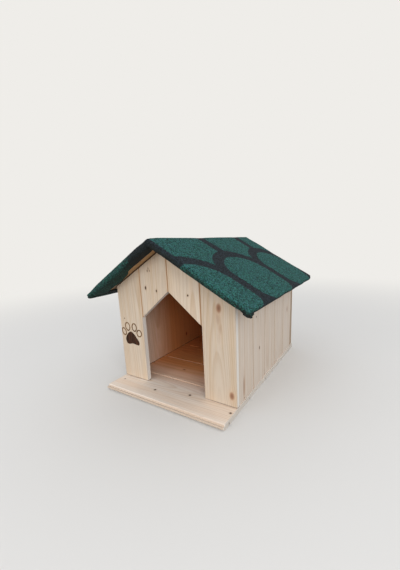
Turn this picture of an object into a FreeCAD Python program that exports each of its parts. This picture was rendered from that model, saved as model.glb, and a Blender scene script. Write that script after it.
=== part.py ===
import FreeCAD, Part
import math
import os

# Pine cat house with a lift-off gabled roof.
# Millimetres. +Z is up, +X is to the right seen from the front, the doorway faces -Y.
# The origin is on the ground, at the middle of the whole outline.

V = FreeCAD.Vector

# House body
house_width = 400.0             # over the outer faces of the side walls
house_depth = 500.0             # front face of the front wall to back face of the rear wall
side_wall_height = 296.0        # floor to the top of the side wall's outer face
gable_gap = 4.0                 # the gables stop this far below the roof deck
gable_foot_gap = 0.8            # the gables stand this far off the floor

# Tongue and groove boards
board_thickness = 14.0
bevel = 2.5                     # each half of the V between two boards
tongue_length = 5.5
tongue_thickness = 4.6
tongue_back = 4.5               # back of the board to the tongue
groove_clearance = 0.2          # round the tongue, on each side and at its tip
gable_board_face = 102.0        # joint to joint on the front and rear walls
side_board_count = 5
side_gap_foot = 13.0            # last edge of a side wall to the rear wall, at the floor
side_gap_head = 0.5             # and at the top

# Floor
floor_board_face = 125.5        # joint to joint
step_reach = 76.5               # front wall's face to the tip of the step's tongue
floor_overhang_front = 2.0      # past the side walls, on the boards at the front
floor_overhang_rear = 3.5       # past the side walls, on the boards at the rear
short_floor_boards = 2          # how many boards at the front have the shorter ends
relief_width = 4.0              # saw kerf along the underside of each floor board
relief_depth = 8.0
relief_inset = 20.0             # from the board's tongue shoulder to the kerf

# Doorway, a pentagon
door_width = 209.4
door_eave_height = 203.5        # floor to the corners where the slopes start
door_slope = 39.15              # degrees, of the two edges that meet in the point

# Inner framing
post_side = 20.0                # square corner post
framing_gap = 1.0               # posts and rails stop this far below the roof deck
lintel_thickness = 15.0
lintel_height = 36.0
lintel_inset = 20.0             # house's middle to the inner end of a lintel cleat
lintel_clearance = 2.0          # above the doorway's slope, at that end
batten_end_clearance = 16.0     # from a lintel cleat or the rear batten to the corner post
rail_thickness = 15.0
rail_height = 28.0

# Roof
roof_pitch = 30.2               # degrees
roof_front_overhang = 66.0      # front wall's face to the front verge, at the ridge
verge_rake = 6.5                # how far that verge falls back from the ridge to the eave
roof_rear_overhang = 26.0
eave_overhang = 56.0            # side wall's face to the deck's lower edge
deck_thickness = 9.0
cleat_width = 20.0
cleat_depth = 18.0
cleat_clearance = 1.0           # from a cleat to the batten beside it
cleat_end_clearance = 13.0      # from a cleat's lower end to the eave rail
ridge_batten_width = 36.0
ridge_batten_depth = 22.0

# Shingle covers
shingle_thickness = 3.2
fold_radius = 5.0
front_fold_clearance = 28.0     # front wall's face to the edge that is folded under
rear_fold_clearance = 6.0       # rear wall's back face to that edge behind
eave_wrap = 32.0                # how far the cover is folded under at the eave

# Nails
nail_head_radius = 2.2
nail_head_height = 1.4
nail_radius = 1.1
nail_length = 25.0
nail_sides = 8
nail_clearance = 0.05
lintel_nail_places = (          # from the house's middle, and above the lintel's lower edge
    (-81.0, 20.0),
    (-41.0, 13.0),
    (65.0, 8.0),
)
post_nail_height = 193.0        # above the floor
post_nail_inset = 18.0          # from the house's outer face
rear_nail_count = 6
rear_nail_spacing = 50.0
toe_nail_height = 6.0           # above the floor
toe_nail_slope = 35.0           # degrees below level
toe_nail_front = 45.0           # from the front wall's face
toe_nail_rear = 66.0            # from the rear wall's back face

# Worked-out places
half_width = house_width / 2
front_y = (max(step_reach, roof_front_overhang) - house_depth - roof_rear_overhang) / 2
rear_y = front_y + house_depth
wall_front_y = front_y + board_thickness
wall_rear_y = rear_y - board_thickness
inner_x = half_width - board_thickness
floor_top = board_thickness
pitch = math.radians(roof_pitch)
rise = math.tan(pitch)
deck_ridge_z = floor_top + side_wall_height + half_width * rise
deck_slope_length = (half_width + eave_overhang) / math.cos(pitch)
half_door = door_width / 2
door_eave_z = floor_top + door_eave_height
door_rise = math.tan(math.radians(door_slope))
door_apex_z = door_eave_z + half_door * door_rise
lintel_z = door_apex_z - lintel_inset * door_rise + lintel_clearance
lintel_back_y = wall_front_y + lintel_thickness
rear_batten_front_y = wall_rear_y - lintel_thickness
batten_end_x = inner_x - post_side - batten_end_clearance
lintel_length = batten_end_x - lintel_inset
cleat_reach = inner_x - rail_thickness - cleat_end_clearance
far = 2 * (house_width + house_depth)

ACROSS = V(1, 0, 0)
REARWARD = V(0, 1, 0)
FRONTWARD = V(0, -1, 0)
UP = V(0, 0, 1)


def save(shape, node):
    shape.exportStep("parts/" + node + ".step")


def prism(points, direction):
    """A straight solid from a closed outline carried along a direction."""
    return Part.Face(Part.makePolygon(points + points[:1])).extrude(direction)


def deck_plane(x):
    """Height of the roof deck's underside above a place across the house."""
    return deck_ridge_z - abs(x) * rise


def above_roof(gap):
    """Everything higher than a line this far below the deck's underside."""
    top = deck_ridge_z + far
    outline = [
        V(-far, -far, deck_plane(far) - gap),
        V(0, -far, deck_ridge_z - gap),
        V(far, -far, deck_plane(far) - gap),
        V(far, -far, top),
        V(-far, -far, top),
    ]
    return prism(outline, REARWARD * (2 * far))


def board_outline(left, right, groove, tongue, kerf):
    """Board section as (across, outward) pairs: groove at the left edge, tongue at the right."""
    groove_back = tongue_back - groove_clearance
    groove_front = tongue_back + tongue_thickness + groove_clearance
    groove_end = left + tongue_length + groove_clearance
    shoulder = board_thickness - bevel
    points = [(left, 0)]
    if groove:
        points += [(left, groove_back), (groove_end, groove_back)]
        points += [(groove_end, groove_front), (left, groove_front)]
        points += [(left, shoulder), (left + bevel, board_thickness)]
    else:
        points += [(left, board_thickness)]
    if tongue:
        tip = right + tongue_length
        points += [(right - bevel, board_thickness), (right, shoulder)]
        points += [(right, tongue_back + tongue_thickness), (tip, tongue_back + tongue_thickness)]
        points += [(tip, tongue_back), (right, tongue_back)]
    else:
        points += [(right, board_thickness)]
    points += [(right, 0)]
    if kerf:
        start = right - relief_inset
        points += [(start, 0), (start, relief_depth)]
        points += [(start - relief_width, relief_depth), (start - relief_width, 0)]
    return points


def board(origin, across, outward, along, edges, groove, tongue, kerf=False):
    """One board: its section is placed by two directions and carried along a third."""
    outline = board_outline(edges[0], edges[1], groove, tongue, kerf)
    return prism([origin + across * a + outward * b for a, b in outline], along)


def row_edges(start, end, face):
    """Joint places of a row of boards, with a last board of at least four tenths of a face."""
    count = max(1, int((end - start) / face + 0.6))
    return [start + face * i for i in range(count)] + [end]


def stud(radius, start, end):
    """A length of nail wire along Z, with a few flat sides."""
    turn = 2 * math.pi / nail_sides
    corners = [V(radius * math.cos(turn * i), radius * math.sin(turn * i), start) for i in range(nail_sides)]
    return prism(corners, UP * (end - start))


def nail(place, heading):
    """A lost-head nail with the middle of its head at place."""
    head = stud(nail_head_radius, 0, nail_head_height)
    solid = head.fuse(stud(nail_radius, 0, nail_length)).removeSplitter()
    solid.Placement = FreeCAD.Placement(place, FreeCAD.Rotation(UP, heading))
    return solid


def nail_hole(place, heading):
    """The hole that a nail fills, open on the side it was driven from."""
    head = stud(nail_head_radius + nail_clearance, -nail_length, nail_head_height + nail_clearance)
    hole = head.fuse(stud(nail_radius + nail_clearance, 0, nail_length + nail_clearance))
    hole.Placement = FreeCAD.Placement(place, FreeCAD.Rotation(UP, heading))
    return hole


# Where the nails go: place of the head, and the way it is driven
lintel_nails = [(V(x, front_y, lintel_z + lift), REARWARD) for x, lift in lintel_nail_places]
post_nails = [(V(post_nail_inset - half_width, front_y, floor_top + post_nail_height), REARWARD)]
rear_nail_start = -rear_nail_spacing * (rear_nail_count - 1) / 2
rear_nails = []
for i in range(rear_nail_count):
    rear_nail_x = rear_nail_start + rear_nail_spacing * i
    rear_nails.append((V(rear_nail_x, rear_y, lintel_z + lintel_height / 2), FRONTWARD))
toe_nails = []
toe_drop = math.radians(toe_nail_slope)
toe_head_x = half_width - nail_head_radius * math.sin(toe_drop)
for side in (-1, 1):
    heading = V(-side * math.cos(toe_drop), 0, -math.sin(toe_drop))
    for y in (front_y + toe_nail_front, rear_y - toe_nail_rear):
        toe_nails.append((V(side * toe_head_x, y, floor_top + toe_nail_height), heading))


def drilled(shape, nails):
    """The shape with a hole for every nail that reaches into it."""
    for place, heading in nails:
        hole = nail_hole(place, heading)
        if shape.BoundBox.intersect(hole.BoundBox):
            shape = shape.cut(hole)
    return shape


def floor_boards():
    """Boards across the house, tongues forward. The first one is also the step, and its tongue is
    cut from its own face."""
    edges = row_edges(front_y - step_reach, rear_y, floor_board_face)
    edges[0] += tongue_length
    last = len(edges) - 2
    for i in range(last + 1):
        overhang = floor_overhang_front if i < short_floor_boards else floor_overhang_rear
        reach = half_width + overhang
        span = (-edges[i + 1], -edges[i])
        shape = board(V(-reach, 0, 0), FRONTWARD, UP, ACROSS * (2 * reach), span, i < last, True, True)
        save(drilled(shape, toe_nails), "floor_board_%d" % (i + 1))


def gable_edges():
    """Joint places across a gable: two full boards in the middle, ripped boards outside."""
    return [-half_width, -gable_board_face, 0.0, gable_board_face, half_width]


def door_cuts():
    """What each front board loses: the pentagon, and on the middle boards also the lengths of
    tongue that jambs outside their joints would leave standing in the grooves."""
    y = front_y - board_thickness
    depth = 3 * board_thickness
    outline = [
        V(-half_door, y, 0),
        V(-half_door, y, door_eave_z),
        V(0, y, door_apex_z),
        V(half_door, y, door_eave_z),
        V(half_door, y, 0),
    ]
    pentagon = prism(outline, REARWARD * depth)
    middle = pentagon
    if half_door > gable_board_face:
        reach = half_door + tongue_length
        middle = pentagon.fuse(Part.makeBox(2 * reach, depth, door_eave_z, V(-reach, y, 0)))
    return [pentagon, middle, middle, pentagon]


def gable_wall(name, inner_y, outward, cuts, nails):
    """Upright boards from wall to wall, cut to the roof's slopes."""
    edges = gable_edges()
    last = len(edges) - 2
    for i in range(last + 1):
        origin = V(0, inner_y, floor_top + gable_foot_gap)
        height = UP * (deck_ridge_z - floor_top)
        shape = board(origin, ACROSS, outward, height, (edges[i], edges[i + 1]), i > 0, i < last)
        shape = shape.cut(above_roof(gable_gap))
        if cuts:
            shape = shape.cut(cuts[i])
        save(drilled(shape, nails), "%s_board_%d" % (name, i + 1))


def behind_side_walls():
    """Everything behind the side walls' last edges, which lean back to the rear wall."""
    head_z = floor_top + side_wall_height
    outline = [
        V(-far, wall_rear_y - side_gap_foot, floor_top),
        V(-far, wall_rear_y - side_gap_head, head_z),
        V(-far, far, head_z),
        V(-far, far, floor_top),
    ]
    return prism(outline, ACROSS * (2 * far))


def side_wall(name, side):
    """Upright boards between the gables, with tops bevelled to carry the deck.
    The last edge is cut out of plumb, and its gap to the rear wall opens downward."""
    face = (wall_rear_y - side_gap_foot - wall_front_y) / side_board_count
    last = side_board_count - 1
    for i in range(last + 1):
        origin = V(side * inner_x, wall_front_y, floor_top)
        end = face * (i + 1) if i < last else wall_rear_y - side_gap_head - wall_front_y
        height = UP * (deck_ridge_z - floor_top)
        shape = board(origin, REARWARD, ACROSS * side, height, (face * i, end), i > 0, i < last)
        shape = shape.cut(above_roof(0)).cut(behind_side_walls())
        save(drilled(shape, toe_nails), "%s_board_%d" % (name, i + 1))


def corner_posts():
    """Square posts in the four inner corners."""
    for x_name, side in (("left", -1), ("right", 1)):
        for y_name, y in (("front", wall_front_y), ("rear", wall_rear_y - post_side)):
            x = min(side * inner_x, side * (inner_x - post_side))
            post = Part.makeBox(post_side, post_side, deck_ridge_z, V(x, y, floor_top))
            post = post.cut(above_roof(framing_gap))
            save(drilled(post, post_nails), "corner_post_%s_%s" % (y_name, x_name))


def wall_battens():
    """Cleats behind the boards over the doorway, a batten across the rear wall, and eave rails."""
    for name, x, y, length, nails in (
        ("lintel_cleat_left", -batten_end_x, wall_front_y, lintel_length, lintel_nails),
        ("lintel_cleat_right", lintel_inset, wall_front_y, lintel_length, lintel_nails),
        ("rear_batten", -batten_end_x, rear_batten_front_y, 2 * batten_end_x, rear_nails),
    ):
        batten = Part.makeBox(length, lintel_thickness, lintel_height, V(x, y, lintel_z))
        batten = batten.cut(above_roof(framing_gap))
        save(drilled(batten, nails), name)
    rail_y = wall_front_y + post_side
    rail_length = wall_rear_y - wall_front_y - 2 * post_side
    rail_z = deck_plane(inner_x) - framing_gap - rail_height
    for name, side in (("left", -1), ("right", 1)):
        x = min(side * inner_x, side * (inner_x - rail_thickness))
        rail = Part.makeBox(rail_thickness, rail_length, 2 * rail_height, V(x, rail_y, rail_z))
        save(rail.cut(above_roof(framing_gap)), "eave_rail_%s" % name)


def on_slope(shape):
    """Place a shape drawn flat (X down the slope, Z off the deck) on the right-hand slope."""
    shape.Placement = FreeCAD.Placement(V(0, 0, deck_ridge_z), FreeCAD.Rotation(REARWARD, roof_pitch))
    return shape


def right_half(shape):
    """The part of a shape on the right of the house's middle plane."""
    return shape.cut(Part.makeBox(far, 2 * far, 2 * far, V(-far, -far, -far)))


def save_pair(shape, node):
    """The right-hand piece and its mirror image on the left."""
    save(shape, node + "_right")
    save(shape.mirror(V(0, 0, 0), ACROSS), node + "_left")


def raked_panel(margin, back, low, thickness):
    """A flat panel as large as the roof deck and a margin, drawn with X down the slope. It runs back past
    the ridge, and its front edge falls back towards the eave."""
    end = deck_slope_length + margin
    lean = verge_rake / deck_slope_length
    start_y = front_y - roof_front_overhang + shingle_thickness - margin
    end_y = rear_y + roof_rear_overhang - shingle_thickness + margin
    outline = [
        V(-back, start_y - lean * back, low),
        V(end, start_y + lean * end, low),
        V(end, end_y, low),
        V(-back, end_y, low),
    ]
    return prism(outline, UP * thickness)


def roof_deck():
    """One flat panel for each slope, meeting plumb at the ridge."""
    return right_half(on_slope(raked_panel(0, 2 * deck_thickness, 0, deck_thickness)))


def shingle_cover(deck):
    """A sheet over one slope, folded round the verges and the eave and a little way under."""
    thickness = deck_thickness + 2 * shingle_thickness
    back = 2 * thickness
    sheet = raked_panel(shingle_thickness, back, -shingle_thickness, thickness)
    outer = [e for e in sheet.Edges if max(v.X for v in e.Vertexes) > 0]
    sheet = sheet.makeFillet(fold_radius, outer)
    bare_start_y = front_y - front_fold_clearance
    bare = Part.makeBox(
        back + deck_slope_length - eave_wrap + shingle_thickness,
        rear_y + rear_fold_clearance - bare_start_y,
        2 * shingle_thickness,
        V(-back, bare_start_y, -2 * shingle_thickness),
    )
    return right_half(on_slope(sheet.cut(bare))).cut(deck)


def roof_framing():
    """Ridge batten and the cleats that hold the two panels and sit between the wall battens."""
    front_cleat_y = lintel_back_y + cleat_clearance
    rear_cleat_y = rear_batten_front_y - cleat_clearance - cleat_width
    half_batten = ridge_batten_width / 2
    foot_z = deck_plane(half_batten) - ridge_batten_depth
    outline = [
        V(0, front_cleat_y, deck_ridge_z),
        V(half_batten, front_cleat_y, deck_plane(half_batten)),
        V(half_batten, front_cleat_y, foot_z),
        V(-half_batten, front_cleat_y, foot_z),
        V(-half_batten, front_cleat_y, deck_plane(half_batten)),
    ]
    batten_length = rear_cleat_y + cleat_width - front_cleat_y
    save(prism(outline, REARWARD * batten_length), "ridge_batten")
    drop = cleat_depth / math.cos(pitch)
    for name, y in (("front", front_cleat_y), ("rear", rear_cleat_y)):
        outline = [
            V(half_batten, y, deck_plane(half_batten)),
            V(cleat_reach, y, deck_plane(cleat_reach)),
            V(cleat_reach, y, deck_plane(cleat_reach) - drop),
            V(half_batten, y, deck_plane(half_batten) - drop),
        ]
        save_pair(prism(outline, REARWARD * cleat_width), "roof_cleat_%s" % name)


def nail_groups():
    """Nails of one use share a node."""
    for node, nails in (
        ("lintel_nails", lintel_nails),
        ("post_nail", post_nails),
        ("rear_nails", rear_nails),
        ("toe_nails", toe_nails),
    ):
        save(Part.makeCompound([nail(place, heading) for place, heading in nails]), node)


os.makedirs("parts", exist_ok=True)
floor_boards()
gable_wall("front", wall_front_y, FRONTWARD, door_cuts(), lintel_nails + post_nails)
gable_wall("rear", wall_rear_y, REARWARD, None, rear_nails)
side_wall("left", -1)
side_wall("right", 1)
corner_posts()
wall_battens()
right_deck = roof_deck()
save_pair(right_deck, "roof_deck")
save_pair(shingle_cover(right_deck), "shingle")
roof_framing()
nail_groups()
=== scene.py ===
"""Looks of a pine cat house with a lift-off gabled roof.

Shapes are worked out in millimetres on the frame's axes (+Z up, the doorway faces -Y) and written
in metres.
"""
import math
from types import SimpleNamespace

import bmesh
import bpy
import numpy as np
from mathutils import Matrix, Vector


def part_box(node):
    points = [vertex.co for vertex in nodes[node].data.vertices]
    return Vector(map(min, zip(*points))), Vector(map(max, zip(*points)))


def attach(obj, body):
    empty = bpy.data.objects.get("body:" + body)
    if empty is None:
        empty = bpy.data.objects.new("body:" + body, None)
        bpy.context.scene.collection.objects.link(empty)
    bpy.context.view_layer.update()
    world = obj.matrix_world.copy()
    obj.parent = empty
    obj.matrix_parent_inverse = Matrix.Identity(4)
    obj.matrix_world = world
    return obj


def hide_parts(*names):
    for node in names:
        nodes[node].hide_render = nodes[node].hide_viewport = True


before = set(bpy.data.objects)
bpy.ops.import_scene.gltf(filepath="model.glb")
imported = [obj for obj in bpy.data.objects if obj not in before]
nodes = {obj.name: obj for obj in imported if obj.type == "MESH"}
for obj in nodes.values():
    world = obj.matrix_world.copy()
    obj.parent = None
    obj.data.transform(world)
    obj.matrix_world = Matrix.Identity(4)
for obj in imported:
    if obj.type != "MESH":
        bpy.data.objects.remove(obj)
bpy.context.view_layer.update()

MM = 0.001  # metres
cad_weld, grid_weld = 0.001, 0.0001  # points closer than this are one


def box_mm(node):
    """Lowest and highest corner of a node, in millimetres."""
    low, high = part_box(node)
    return np.array(low) / MM, np.array(high) / MM


# Places taken from the frame
left_face, front_face = box_mm("front_board_1")[0][:2]
right_face = -left_face
rear_face = box_mm("rear_board_1")[1][1]
floor_top = box_mm("floor_board_2")[1][2]
board_thickness = floor_top - box_mm("floor_board_2")[0][2]
cover_low, cover_high = box_mm("shingle_right")
deck_high = box_mm("roof_deck_right")[1]

# Roof
roof_pitch = math.radians(30.2)
deck_thickness = 9.0
sheet_thickness = 3.2
ridge_z = deck_high[2] - deck_thickness / math.cos(roof_pitch)
slope_length = (deck_high[0] - deck_thickness * math.sin(roof_pitch)) / math.cos(roof_pitch)
fold_radius = deck_thickness / 2 + sheet_thickness
ridge_rounding = 1.0
corner_tuck = 4.0  # what is left of the tucks where an eave and a verge meet
longest_tuck = 58.0  # stops short of the front wall
corner_drop = 0.6  # a doubled corner hangs by this
corner_squeeze = 3.4  # how far a corner is pressed up to the deck
ridge_lift = 1.2  # how far the sheets stand up off the deck along the ridge
front_lift = 2.2  # how much more towards the front
apex_dip = 1.2  # how far the ridge comes down again at its front end

# Shingle tabs, measured on the slope: along the ridge from the front wall, and down from the ridge
tab_pitch = 243.0
tab_middle = 168.0
band_width = 37.0
tab_half_width = (tab_pitch - band_width) / 2
arch_foot = 200.0
arch_rise = 84.0
band_arch_rise = 118.0
tab_corner = 45.0
tab_lean = 9.0  # how far a tab leans to the rear at its end
lean_fade = 0.8  # share of the lean that is gone at the rear
tab_relief = 0.5
tab_edge = 4.0  # the relief of a tab rises over this width
rim_width = 22.0  # the black rim that closes the last tab at the rear eave corner
rim_radius = 30.0

# Nails, as they are driven
nail_head_radius = 2.2
nail_head_height = 1.4
nail_head_dish = ((0, 0.35), (0.55, 0.3), (0.86, 0.05), (1, 0.3))  # share of the radius, how far down
nail_radius = 1.1
nail_length = 25.0
nail_point = 2.0
nail_sink = 0.5


def linear(code):
    """Linear colour, with alpha, of an sRGB hex code."""
    parts = np.array([int(code[i:i + 2], 16) for i in (1, 3, 5)]) / 255
    light = np.where(parts <= 0.04045, parts / 12.92, ((parts + 0.055) / 1.055) ** 2.4)
    return (*light.tolist(), 1.0)


def add(tree, kind, inputs, out=0, **settings):
    """Add a shader node. Its inputs are sockets to link or values to set; one of its outputs comes back."""
    node = tree.nodes.new("ShaderNode" + kind)
    for name, value in settings.items():
        setattr(node, name, value)
    for key, value in inputs.items():
        if isinstance(value, bpy.types.NodeSocket):
            tree.links.new(value, node.inputs[key])
        else:
            node.inputs[key].default_value = value
    return node.outputs[out]


# Settings that many shader nodes share
colour_mix = {"out": 2, "data_type": "RGBA"}
soft_step = {"interpolation_type": "SMOOTHSTEP"}


def new_material(name, **sockets):
    """A material with one Principled shader, whose plain values are set on its own sockets."""
    material = bpy.data.materials.new(name)
    material.use_nodes = True
    tree = material.node_tree
    shader = tree.nodes["Principled BSDF"]
    for key, value in sockets.items():
        shader.inputs[key.replace("_", " ")].default_value = value
    return material, tree, shader


def grid_mesh(name, points, turned=False, ring=False, **attributes):
    """A mesh from a grid of points in millimetres; a ring joins the last row to the first.
    Points that fall together, as at a pole, are merged."""
    rows, columns = points.shape[:2]
    index = np.arange(rows * columns).reshape(rows, columns)
    if ring:
        index = np.vstack([index, index[:1]])
    quads = np.stack([index[:-1, :-1], index[1:, :-1], index[1:, 1:], index[:-1, 1:]], -1).reshape(-1, 4)
    if turned:
        quads = quads[:, ::-1]
    mesh = bpy.data.meshes.new(name)
    mesh.from_pydata((points.reshape(-1, 3) * MM).tolist(), [], quads.tolist())
    for label, values in attributes.items():
        layer = mesh.attributes.new(label, "FLOAT", "POINT")
        layer.data.foreach_set("value", np.broadcast_to(values, (rows, columns)).astype(np.float32).ravel())
    work = bmesh.new()
    work.from_mesh(mesh)
    bmesh.ops.remove_doubles(work, verts=work.verts, dist=grid_weld * MM)
    work.to_mesh(mesh)
    work.free()
    mesh.polygons.foreach_set("use_smooth", np.ones(len(mesh.polygons), bool))
    return mesh


def placed(name, data):
    """A new object in the scene."""
    thing = bpy.data.objects.new(name, data)
    bpy.context.scene.collection.objects.link(thing)
    return thing


def piece(name, mesh, material, body, slot, *replaced):
    """A finished piece of the object, riding on its body and standing for its nodes."""
    thing = placed(name, mesh)
    if material:
        mesh.materials.append(material)
    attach(thing, body)
    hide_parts(*replaced)
    return thing


# Grain of pine: sizes in millimetres across, into and along the board
noise_shift = 50.0  # boards take their grain from places up to this far apart in the noise
pith_across = (-45, 45)
pith_behind = (35, 90)
pith_slope = (-0.025, 0.025)  # how far the pith leans, along the board
ring_spacing = (4.2, 6.0)
wander_size = (110, 110, 700)  # the pith wanders by wander_reach over these lengths
wander_reach = (18, 40, 0)
weakest_ring = 0.25
late_start, late_end = 0.35, 0.92  # share of a ring where latewood begins, and where it is darkest
line_share = 0.4
streak_size = (16, 16, 500)
streak_range = (0.36, 0.68)
streak_share = 0.6
fibre_size = (1.4, 1.4, 45)
fibre_range = (0.25, 0.75)
fibre_shade = (0.9, 1.06)
late_relief = 0.5  # how far the latewood stands up, against the fibres

# Knots, in radii
knot_draw = 0.8  # how far a knot draws the grain in
knot_fade = 0.72
heart_reach = (0.1, 0.9)
body_reach = (0.6, 1.25)
halo_reach = (0.9, 2.6)
halo_share = 0.28

# Faces, joints, marks and painted shade of a board, in millimetres
face_skin = 0.3  # what still counts as the face, in depth
edge_start = (0.5, 1.6)  # the edges' own tone comes in over these depths
edge_stop = (1.6, 0.6)  # and goes again before the back
vee_half_width = 2.6
vee_start = (0.1, 1.0)  # its tone comes in over these depths
vee_depth = 4.0
vee_share = 0.9
# painted shadow in the floor boards' saw kerf, and along the walls' inner foot on the floor
kerf_half_width = 2.3
kerf_roof = 5.0  # the floor board's face to the saw kerf
inner_foot = (15.0, 1.1)  # dark line on the floor: in from the walls' outer face, and half its width
foot_skin = 0.4  # and how deep it goes
end_blend = 0.5  # the sawn ends' tone comes in over this, either side of the walls' outer face
end_share = 0.8
# Painted shade inside the house: in millimetres behind the front wall's face, where it begins and is full
floor_shade_reach = (0, 140)  # behind the front wall's face, where the inner tone begins and is full
vee_shade_reach = (50, 300)
wall_shade_reach = (60, 230)


def board_sockets(tree, axes, centre):
    """Where a point lies, as sockets: x and y on the house's axes, in metres, and on the board, in
    millimetres, its place, the parts of that across and along the board, and the depth below the face."""
    object_place = add(tree, "TexCoord", {}, out=3)
    house = add(tree, "SeparateXYZ", {0: object_place}).node.outputs
    turned = add(tree, "CombineXYZ", {i: house["XYZ".index(axis)] for i, axis in enumerate(axes)})
    place = add(tree, "VectorMath", {0: turned, 1: (1 / MM,) * 3, 2: [-c for c in centre]},
                operation="MULTIPLY_ADD")
    across, into, along = add(tree, "SeparateXYZ", {0: place}).node.outputs
    depth = add(tree, "Math", {0: into}, operation="ABSOLUTE")
    return SimpleNamespace(tree=tree, x=house[0], y=house[1], place=place, across=across, along=along,
                           depth=depth)


def drawn_in(board, centre, knots):
    """Draw the grain's coordinates in at each knot, so that the lines go round it: the pull across the
    board dies away with the square of the distance. Gives the new place and, in radii, each distance."""
    tree, place = board.tree, board.place
    distances = []
    for across, along, radius, stretch, _ in knots:
        scale = np.array([1 / radius, 0, 1 / (stretch * radius)])
        middle = np.array([across - centre[0], 0, along - centre[2]])
        away = add(tree, "VectorMath", {0: place, 1: scale, 2: -middle * scale}, operation="MULTIPLY_ADD")
        distance = add(tree, "VectorMath", {0: away}, out=1, operation="LENGTH")
        square = add(tree, "Math", {0: distance, 1: distance}, operation="MULTIPLY")
        pull = add(tree, "Math", {0: knot_fade, 1: square}, operation="POWER")
        sideways = add(tree, "VectorMath", {0: away, 1: (knot_draw * radius, 0, 0)}, operation="MULTIPLY")
        moved = add(tree, "VectorMath", {0: sideways, "Scale": pull}, operation="SCALE")
        place = add(tree, "VectorMath", {0: place, 1: moved}, operation="SUBTRACT")
        distances.append(distance)
    return place, distances


def latewood(board, place, shift, pith, slope, spacing):
    """Growth rings: the distance from a wandering pith behind the face, cut into rings that are not alike.
    Gives how dark the latewood is, which comes in slowly and ends sharply at a ring's outer edge."""
    tree = board.tree
    slow = add(tree, "VectorMath", {0: place, 1: [1 / size for size in wander_size], 2: shift},
               operation="MULTIPLY_ADD")
    wander = add(tree, "TexNoise", {"Vector": slow, "Scale": 1.0, "Detail": 1.5}, out=1)
    to_pith = (pith[0] - wander_reach[0] / 2, pith[1] - wander_reach[1] / 2, 0)
    flat = add(tree, "VectorMath", {0: place, 1: (1, 1, 0), 2: to_pith}, operation="MULTIPLY_ADD")
    lean = add(tree, "Math", {0: board.along, 1: slope}, operation="MULTIPLY")
    slant = add(tree, "CombineXYZ", {1: lean})
    flat = add(tree, "VectorMath", {0: flat, 1: slant}, operation="ADD")
    from_pith = add(tree, "VectorMath", {0: wander, 1: wander_reach, 2: flat}, operation="MULTIPLY_ADD")
    radius = add(tree, "VectorMath", {0: from_pith}, out=1, operation="LENGTH")
    counted = add(tree, "Math", {0: radius, 1: 1 / spacing}, operation="MULTIPLY")
    rings = add(tree, "Math", {0: counted}, operation="FRACT")
    ring_number = add(tree, "Math", {0: counted}, operation="FLOOR")
    year = add(tree, "TexWhiteNoise", {"W": ring_number}, noise_dimensions="1D")
    strength = add(tree, "MapRange", {0: year, 3: weakest_ring})
    rise = add(tree, "MapRange", {0: rings, 1: late_start, 2: late_end}, **soft_step)
    fall = add(tree, "MapRange", {0: rings, 1: late_end, 3: 1.0, 4: 0.0})
    late = add(tree, "Math", {0: rise, 1: fall}, operation="MULTIPLY")
    return add(tree, "Math", {0: late, 1: strength}, operation="MULTIPLY")


def knot_colours(tree, colour, knots, distances):
    """Knots have a dark heart, a reddish body, and a warm halo that fades into the board."""
    for (_, _, radius, _, dark), distance in zip(knots, distances):
        heart_tone, body_tone, halo_tone = pin_tones if radius < pin_radius else knot_tones
        heart = add(tree, "MapRange", {0: distance, 1: heart_reach[0], 2: heart_reach[1]}, **soft_step)
        knot = add(tree, "Mix", {0: heart, 6: linear(heart_tone), 7: linear(body_tone)}, **colour_mix)
        body = add(tree, "MapRange", {0: distance, 1: body_reach[0], 2: body_reach[1], 3: dark, 4: 0.0},
                   **soft_step)
        halo = add(tree, "MapRange", {0: distance, 1: halo_reach[0], 2: halo_reach[1],
                                      3: halo_share * dark, 4: 0.0}, **soft_step)
        colour = add(tree, "Mix", {0: halo, 6: colour, 7: linear(halo_tone)}, **colour_mix)
        colour = add(tree, "Mix", {0: body, 6: colour, 7: knot}, **colour_mix)
    return colour


def sawn_edges(board, colour, tone, most):
    """Sawn edges and ends are weathered unlike the planed face, and on the rear and side walls darkened with
    painted shade: between face and back a tone rules.
    """
    tree = board.tree
    past_face = add(tree, "MapRange", {0: board.depth, 1: edge_start[0], 2: edge_start[1], 4: most})
    before_back = add(tree, "MapRange", {0: board.depth, 1: board_thickness - edge_stop[0],
                                         2: board_thickness - edge_stop[1], 3: 1.0, 4: 0.0})
    share = add(tree, "Math", {0: past_face, 1: before_back}, operation="MULTIPLY")
    return add(tree, "Mix", {0: share, 6: colour, 7: linear(tone)}, **colour_mix)


def vee_joints(board, colour, places, tone):
    """The V between two boards takes a darker tone, partly its own and partly painted shade in the groove,
    from just below the face to the V's foot.
    """
    tree = board.tree
    sunk = add(tree, "MapRange", {0: board.depth, 1: vee_start[0], 2: vee_start[1], 4: vee_share},
               **soft_step)
    shallow = add(tree, "Math", {0: board.depth, 1: vee_depth}, operation="LESS_THAN")
    sunk = add(tree, "Math", {0: sunk, 1: shallow}, operation="MULTIPLY")
    for place in places:
        near = add(tree, "Math", {0: board.across, 1: place, 2: vee_half_width}, operation="COMPARE")
        share = add(tree, "Math", {0: near, 1: sunk}, operation="MULTIPLY")
        colour = add(tree, "Mix", {0: share, 6: colour, 7: linear(tone)}, **colour_mix)
    return colour


def between_walls(board):
    """1 from the front wall's inner side to the rear wall's, and 0 elsewhere."""
    middle = (front_face + rear_face) / 2
    reach = rear_face - middle - board_thickness
    return add(board.tree, "Math", {0: board.y, 1: middle * MM, 2: reach * MM}, operation="COMPARE")


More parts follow.
